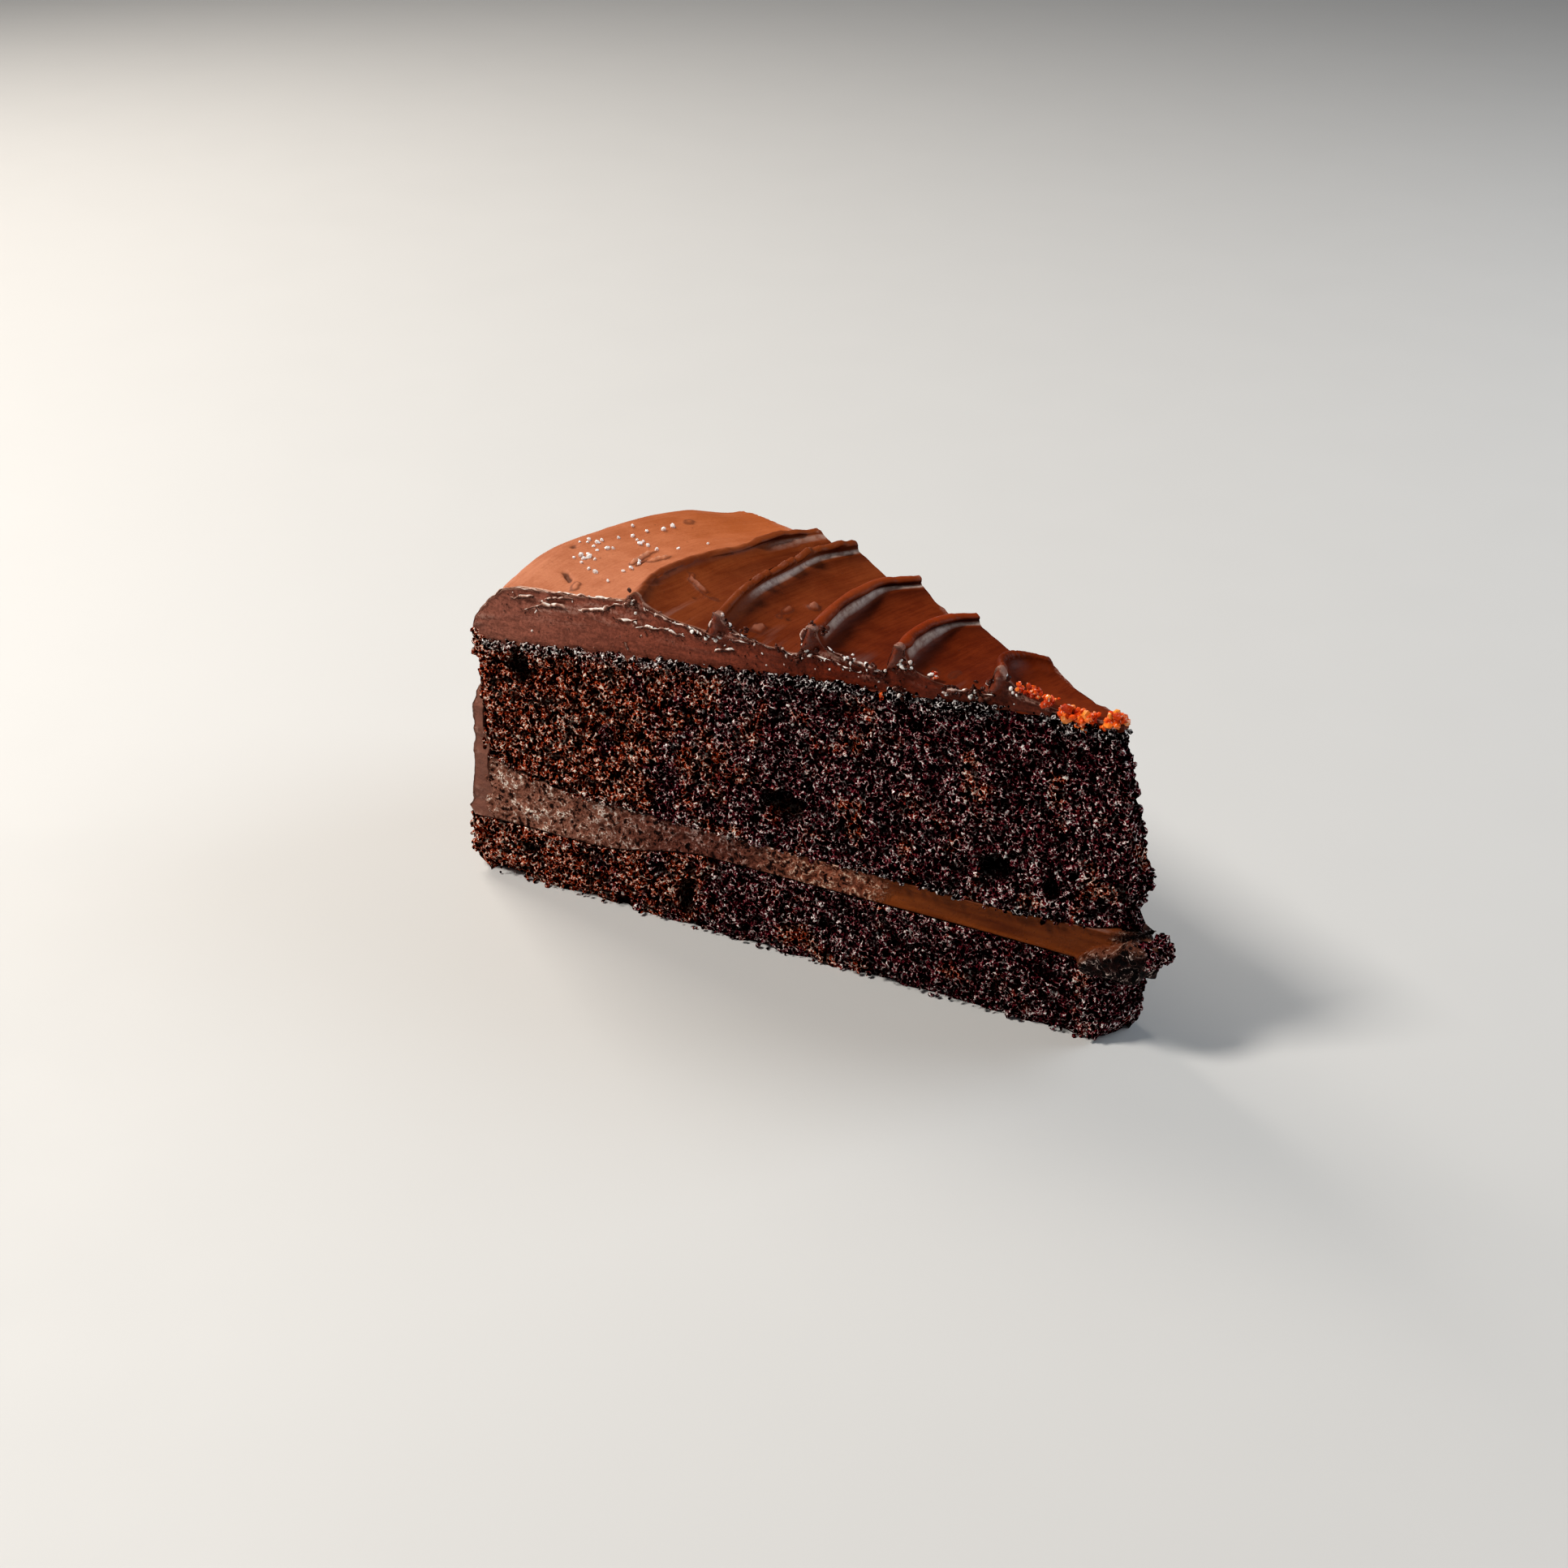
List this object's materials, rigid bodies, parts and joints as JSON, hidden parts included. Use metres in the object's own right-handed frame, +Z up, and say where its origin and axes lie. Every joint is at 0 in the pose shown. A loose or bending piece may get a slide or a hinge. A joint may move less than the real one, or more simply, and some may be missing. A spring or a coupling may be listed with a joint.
{
  "type": "slice of chocolate cake",
  "caption": "Wedge of round chocolate layer cake with dark crumb, a thin filling, and thick icing swept into curved ridges and sprinkled with sugar.",
  "frame": {"origin": "middle of the slice's bounding box, on the flat base it stands on", "axes": "+X along the slice from its iced rim to its point; +Z up; the near cut faces -Y and the far cut faces +Y"},
  "size_m": [0.1428, 0.0782, 0.0689],
  "materials": {
    "dark_sponge": "open dark crumb with moist glints",
    "filling_cream": "soft chocolate cream, rough where torn and satin where smeared",
    "chocolate_icing": "soft satin chocolate icing, spread with a palette knife"
  },
  "bodies": {
    "root": {"lower_sponge": "dark_sponge", "filling": "filling_cream", "upper_sponge": "dark_sponge", "icing": "chocolate_icing"}
  },
  "joints": []
}
